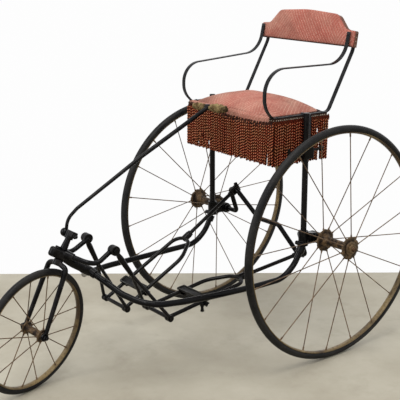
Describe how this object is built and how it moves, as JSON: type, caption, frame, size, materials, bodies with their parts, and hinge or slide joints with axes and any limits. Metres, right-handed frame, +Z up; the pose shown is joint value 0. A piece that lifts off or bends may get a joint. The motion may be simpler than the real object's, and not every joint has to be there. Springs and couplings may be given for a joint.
{
  "type": "velocipede",
  "caption": "Antique treadle velocipede: tall rear wheels on a cranked axle, small tiller-steered front wheel, foot treadles on hangers, and a fringed seat with armrests and a padded back.",
  "frame": {"origin": "on the ground under the middle of the machine's length and width", "axes": "+X forward, +Y to the rider's left, +Z up"},
  "size_m": [1.3695, 0.7794, 1.0236],
  "materials": {
    "tyre_rubber": "dull aged grey-black solid rubber",
    "rim_rust": "golden-brown old paint with rust",
    "spoke_steel": "rusted brown wire",
    "hub_metal": "brassy brown, rusted",
    "frame_black": "worn black enamel with bare grey edges",
    "treadle_iron": "dark forged iron, rusty at the joints",
    "worn_steel": "worn grey flat iron",
    "seat_wood": "dark stained board",
    "pink_fabric": "faded salmon-pink woven cloth",
    "fringe_cord": "twisted rust-red cords",
    "grip_wood": "worn varnished turning"
  },
  "bodies": {
    "frame": {"crankshaft": "frame_black", "hub_nuts": "worn_steel", "axle_collars": "worn_steel", "bearing_left": "frame_black", "bearing_right": "frame_black", "post_left": "frame_black", "post_right": "frame_black", "perch_tube_left": "frame_black", "perch_tube_right": "frame_black", "head_casting": "frame_black", "hanger_arm_left": "frame_black", "hanger_arm_right": "frame_black", "treadle_rod_left": "treadle_iron", "treadle_rod_right": "treadle_iron", "treadle_yoke_left": "treadle_iron", "treadle_yoke_right": "treadle_iron", "foot_plates": "worn_steel", "hanger_left": "treadle_iron", "hanger_right": "treadle_iron", "seat_board": "seat_wood", "seat_cushion": "pink_fabric", "seat_fringe": "fringe_cord", "seat_legs": "worn_steel", "post_clamps": "worn_steel", "side_strap_left": "worn_steel", "side_strap_right": "worn_steel", "back_pad": "pink_fabric", "back_board": "seat_wood"},
    "steering": {"fork": "frame_black", "front_axle": "worn_steel", "tiller_clamp": "frame_black"},
    "tiller": {"tiller": "frame_black", "grips": "grip_wood"},
    "front_wheel": {"front_tyre": "tyre_rubber", "front_rim": "rim_rust", "front_spokes": "spoke_steel", "front_hub": "hub_metal"},
    "rear_left_wheel": {"rear_left_tyre": "tyre_rubber", "rear_left_rim": "rim_rust", "rear_left_spokes": "spoke_steel", "rear_left_hub": "hub_metal"},
    "rear_right_wheel": {"rear_right_tyre": "tyre_rubber", "rear_right_rim": "rim_rust", "rear_right_spokes": "spoke_steel", "rear_right_hub": "hub_metal"}
  },
  "joints": [
    {"name": "steering", "type": "hinge", "parent": "frame", "child": "steering", "pos_m": [0.41638, 0, 0.39501], "axis": [-0.5045, 0, 0.8634], "range_deg": [-52.5, 17.4]},
    {"name": "tiller_tilt", "type": "hinge", "parent": "steering", "child": "tiller", "pos_m": [0.38863, 0, 0.44249], "axis": [-0.0677, 0.9969, -0.0396], "range_deg": [0, 75]},
    {"name": "front_wheel", "type": "hinge", "parent": "steering", "child": "front_wheel", "pos_m": [0.50635, -0.00935, 0.18246], "axis": [-0.2603, 0.9535, -0.1521], "continuous": true},
    {"name": "rear_left_wheel", "type": "hinge", "parent": "frame", "child": "rear_left_wheel", "pos_m": [-0.32922, 0.3174, 0.3556], "axis": [0, 1, 0], "continuous": true},
    {"name": "rear_right_wheel", "type": "hinge", "parent": "frame", "child": "rear_right_wheel", "pos_m": [-0.32922, -0.3174, 0.3556], "axis": [0, 1, 0], "continuous": true}
  ]
}
